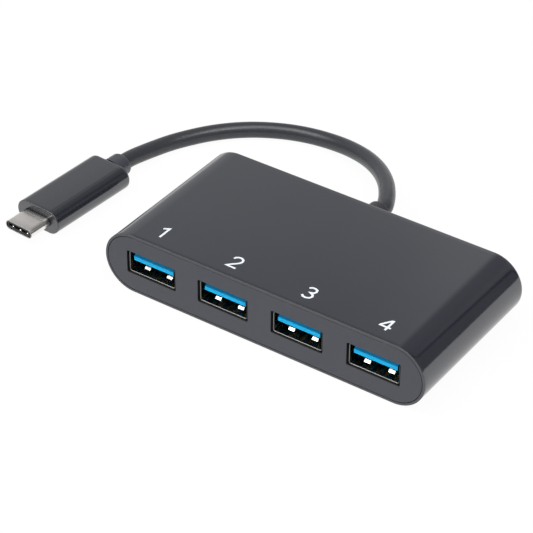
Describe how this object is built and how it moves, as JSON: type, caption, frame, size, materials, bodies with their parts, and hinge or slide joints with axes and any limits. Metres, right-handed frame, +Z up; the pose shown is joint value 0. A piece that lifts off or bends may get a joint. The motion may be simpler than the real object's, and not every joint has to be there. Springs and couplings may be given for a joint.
{
  "type": "usb hub",
  "caption": "Flat dark hub of stadium section with a row of rectangular receptacles in a flush front panel and a short captive cable ending in a small oval plug.",
  "frame": {"origin": "on the table under the middle of the hub's body", "axes": "+X along the row of receptacles, -Y out of their mouths, +Y the way the cable leaves, +Z up"},
  "size_m": [0.1182, 0.0781, 0.0156],
  "materials": {
    "black_plastic": "satin dark grey moulding",
    "panel_plastic": "fine matte dark grey moulding",
    "board_laminate": "green solder mask on laminate",
    "bright_steel": "plated steel sheet",
    "blue_insulator": "blue moulding",
    "gold_contact": "gold plated",
    "black_epoxy": "moulded epoxy",
    "tinned_can": "plain metal can",
    "cable_rubber": "smooth flexible jacket",
    "overmold_plastic": "satin dark grey overmould",
    "nickel_shell": "nickel plated",
    "plug_black": "black moulding",
    "wire_insulation_1": "wire insulation",
    "wire_insulation_2": "wire insulation",
    "wire_insulation_3": "wire insulation",
    "wire_insulation_4": "wire insulation",
    "wire_insulation_5": "wire insulation",
    "wire_insulation_6": "wire insulation",
    "wire_insulation_7": "wire insulation",
    "wire_insulation_8": "wire insulation"
  },
  "bodies": {
    "root": {"sleeve": "black_plastic", "front_panel": "panel_plastic", "circuit_board": "board_laminate", "port_shell_1": "bright_steel", "port_tongue_1": "blue_insulator", "port_1_contact_1": "gold_contact", "port_1_contact_2": "gold_contact", "port_1_contact_3": "gold_contact", "port_1_contact_4": "gold_contact", "port_shell_2": "bright_steel", "port_tongue_2": "blue_insulator", "port_2_contact_1": "gold_contact", "port_2_contact_2": "gold_contact", "port_2_contact_3": "gold_contact", "port_2_contact_4": "gold_contact", "port_shell_3": "bright_steel", "port_tongue_3": "blue_insulator", "port_3_contact_1": "gold_contact", "port_3_contact_2": "gold_contact", "port_3_contact_3": "gold_contact", "port_3_contact_4": "gold_contact", "port_shell_4": "bright_steel", "port_tongue_4": "blue_insulator", "port_4_contact_1": "gold_contact", "port_4_contact_2": "gold_contact", "port_4_contact_3": "gold_contact", "port_4_contact_4": "gold_contact", "hub_controller": "black_epoxy", "clock_crystal": "tinned_can", "voltage_regulator": "black_epoxy", "bulk_capacitor_1": "tinned_can", "bulk_capacitor_2": "tinned_can", "strain_relief": "cable_rubber", "cable": "cable_rubber", "cable_tail": "cable_rubber", "wire_1": "wire_insulation_1", "wire_2": "wire_insulation_2", "wire_3": "wire_insulation_3", "wire_4": "wire_insulation_4", "wire_5": "wire_insulation_5", "wire_6": "wire_insulation_6", "wire_7": "wire_insulation_7", "wire_8": "wire_insulation_8", "plug_overmold": "overmold_plastic", "plug_shell": "nickel_shell", "plug_insulator": "plug_black", "plug_board": "board_laminate"}
  },
  "joints": []
}
